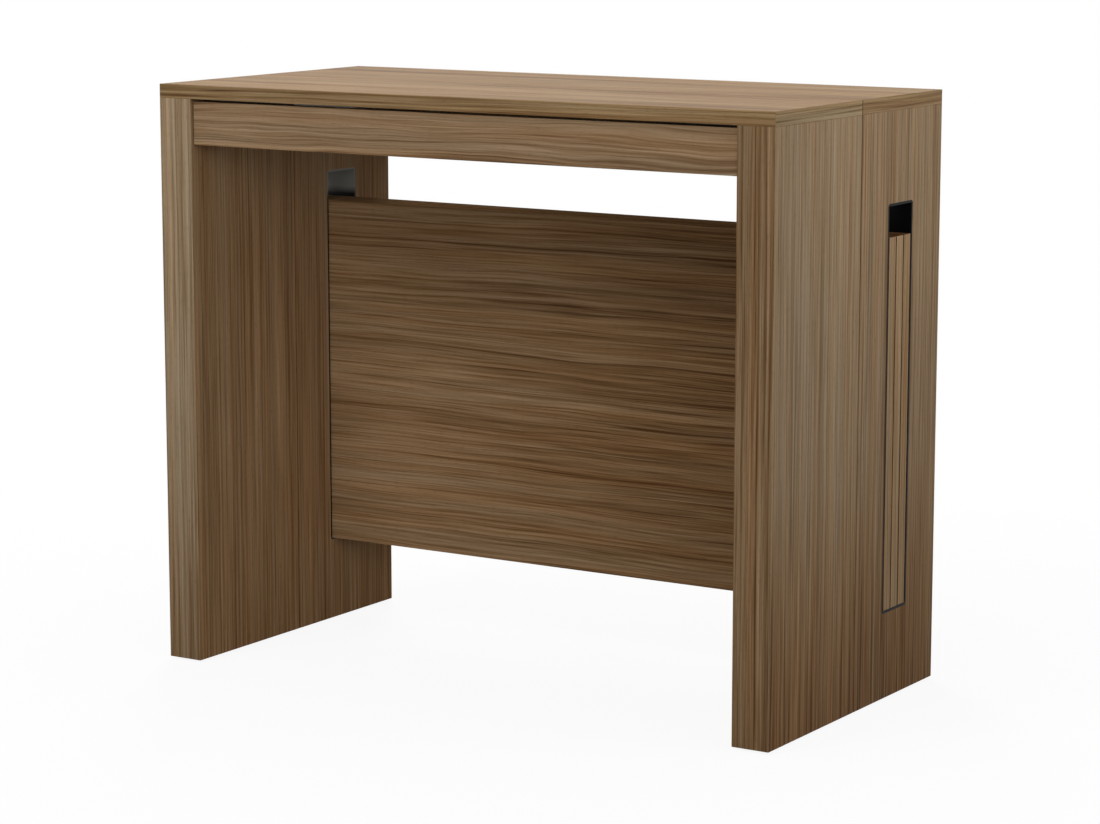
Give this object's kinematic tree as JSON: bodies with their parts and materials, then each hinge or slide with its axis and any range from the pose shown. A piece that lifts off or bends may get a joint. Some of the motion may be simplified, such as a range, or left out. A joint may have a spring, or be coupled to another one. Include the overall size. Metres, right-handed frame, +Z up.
{
  "type": "extending console table",
  "caption": "Console table in two halves that pull apart on telescopic slides, with loose leaves stored upright in slots through the rear legs.",
  "frame": {"origin": "floor level, under the middle of the closed table", "axes": "+X along the table's length, +Y from the front to the rear, +Z up"},
  "size_m": [0.9, 0.44, 0.76],
  "materials": {
    "walnut_board": "walnut-look faced board, satin",
    "slide_alloy": "satin anodised extrusion",
    "liner_plastic": "dark grey moulded",
    "shoe_nylon": "black moulded",
    "zinc_steel": "zinc plated",
    "beech_dowel": "bare turned beech",
    "glide_plastic": "dark brown moulded"
  },
  "bodies": {
    "rear_half": {"rear_top": "walnut_board", "rear_left_leg": "walnut_board", "rear_right_leg": "walnut_board", "rear_apron": "walnut_board", "left_slot_liner": "liner_plastic", "right_slot_liner": "liner_plastic", "rear_left_rail": "slide_alloy", "rear_right_rail": "slide_alloy", "rear_rail_shoes": "shoe_nylon", "rear_rail_screws": "zinc_steel", "rear_dowels": "beech_dowel", "rear_cam_fittings": "zinc_steel", "rear_glides": "glide_plastic"},
    "front_half": {"front_top": "walnut_board", "front_left_leg": "walnut_board", "front_right_leg": "walnut_board", "front_apron": "walnut_board", "front_left_rail": "slide_alloy", "front_right_rail": "slide_alloy", "front_rail_shoes": "shoe_nylon", "front_rail_screws": "zinc_steel", "front_rail_brackets": "zinc_steel", "front_bracket_fixings": "zinc_steel", "front_dowels": "beech_dowel", "front_cam_fittings": "zinc_steel", "front_glides": "glide_plastic"},
    "slide_1": {"slide_1_left_rail": "slide_alloy", "slide_1_right_rail": "slide_alloy", "slide_1_cross_tie": "zinc_steel", "slide_1_front_shoes": "shoe_nylon", "slide_1_rear_shoes": "shoe_nylon", "slide_1_tie_rivets": "zinc_steel"},
    "slide_2": {"slide_2_left_rail": "slide_alloy", "slide_2_right_rail": "slide_alloy", "slide_2_cross_tie": "zinc_steel", "slide_2_front_shoes": "shoe_nylon", "slide_2_rear_shoes": "shoe_nylon", "slide_2_tie_rivets": "zinc_steel"},
    "slide_3": {"slide_3_left_rail": "slide_alloy", "slide_3_right_rail": "slide_alloy", "slide_3_cross_tie": "zinc_steel", "slide_3_front_shoes": "shoe_nylon", "slide_3_rear_shoes": "shoe_nylon", "slide_3_tie_rivets": "zinc_steel"},
    "slide_4": {"slide_4_left_rail": "slide_alloy", "slide_4_right_rail": "slide_alloy", "slide_4_cross_tie": "zinc_steel", "slide_4_front_shoes": "shoe_nylon", "slide_4_rear_shoes": "shoe_nylon", "slide_4_tie_rivets": "zinc_steel"},
    "leaf_1": {"front_leaf": "walnut_board"},
    "leaf_2": {"middle_leaf": "walnut_board"},
    "leaf_3": {"rear_leaf": "walnut_board"}
  },
  "joints": [
    {"name": "table_extend", "type": "slide", "parent": "rear_half", "child": "front_half", "axis": [0, -1, 0], "range_m": [0, 1.41]},
    {"name": "slide_1_run", "type": "slide", "parent": "rear_half", "child": "slide_1", "axis": [0, -1, 0], "range_m": [0, 0.2822]},
    {"name": "slide_2_run", "type": "slide", "parent": "rear_half", "child": "slide_2", "axis": [0, -1, 0], "range_m": [0, 0.5642]},
    {"name": "slide_3_run", "type": "slide", "parent": "rear_half", "child": "slide_3", "axis": [0, -1, 0], "range_m": [0, 0.8462]},
    {"name": "slide_4_run", "type": "slide", "parent": "rear_half", "child": "slide_4", "axis": [0, -1, 0], "range_m": [0, 1.1282]},
    {"name": "front_leaf_draw", "type": "slide", "parent": "rear_half", "child": "leaf_1", "axis": [1, 0, 0], "range_m": [-0.92, 0.92]},
    {"name": "middle_leaf_draw", "type": "slide", "parent": "rear_half", "child": "leaf_2", "axis": [1, 0, 0], "range_m": [-0.92, 0.92]},
    {"name": "rear_leaf_draw", "type": "slide", "parent": "rear_half", "child": "leaf_3", "axis": [1, 0, 0], "range_m": [-0.92, 0.92]}
  ],
  "couplings": [
    {"joint": "slide_1_run", "follows": "table_extend", "ratio": 0.2},
    {"joint": "slide_2_run", "follows": "table_extend", "ratio": 0.4},
    {"joint": "slide_3_run", "follows": "table_extend", "ratio": 0.6},
    {"joint": "slide_4_run", "follows": "table_extend", "ratio": 0.8}
  ]
}
